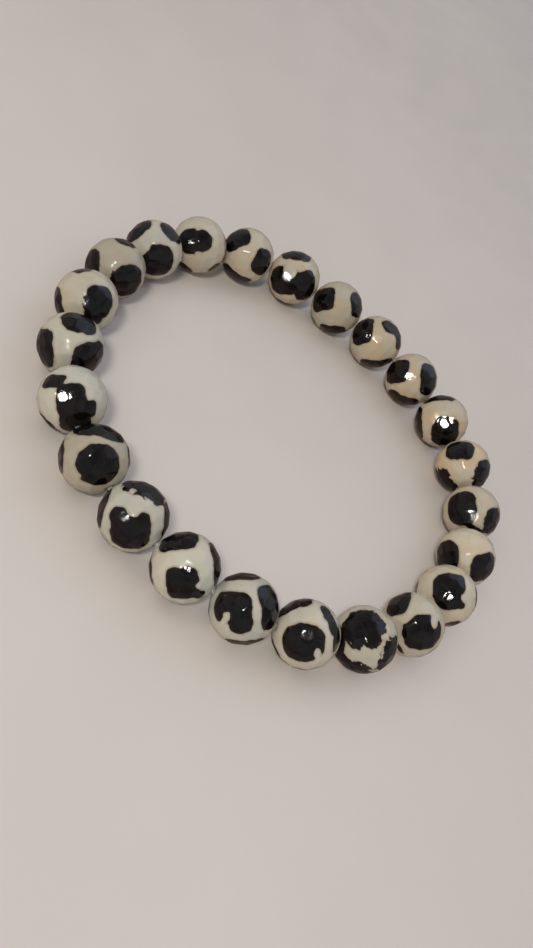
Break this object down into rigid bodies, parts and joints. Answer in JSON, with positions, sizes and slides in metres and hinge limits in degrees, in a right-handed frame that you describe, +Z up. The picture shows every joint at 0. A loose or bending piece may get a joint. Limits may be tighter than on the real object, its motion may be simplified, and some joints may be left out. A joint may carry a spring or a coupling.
{
  "type": "dzi bead bracelet",
  "caption": "Stretch bracelet of round faceted agate beads with a black and cream dzi pattern, strung on a closed loop of clear elastic and lying flat.",
  "frame": {"origin": "on the surface that the bracelet lies on, under the middle of the loop's outer box", "axes": "+Z up, square to the flat loop; -Y towards bead_01, at the front; beads are numbered clockwise seen from above"},
  "size_m": [0.0683, 0.065, 0.0079],
  "materials": {
    "bead_stone": "polished",
    "clear_elastic": "gloss"
  },
  "bodies": {
    "root": {"bead_01": "bead_stone", "bead_02": "bead_stone", "bead_03": "bead_stone", "bead_04": "bead_stone", "bead_05": "bead_stone", "bead_06": "bead_stone", "bead_07": "bead_stone", "bead_08": "bead_stone", "bead_09": "bead_stone", "bead_10": "bead_stone", "bead_11": "bead_stone", "bead_12": "bead_stone", "bead_13": "bead_stone", "bead_14": "bead_stone", "bead_15": "bead_stone", "bead_16": "bead_stone", "bead_17": "bead_stone", "bead_18": "bead_stone", "bead_19": "bead_stone", "bead_20": "bead_stone", "bead_21": "bead_stone", "bead_22": "bead_stone", "bead_23": "bead_stone", "elastic": "clear_elastic"}
  },
  "joints": []
}
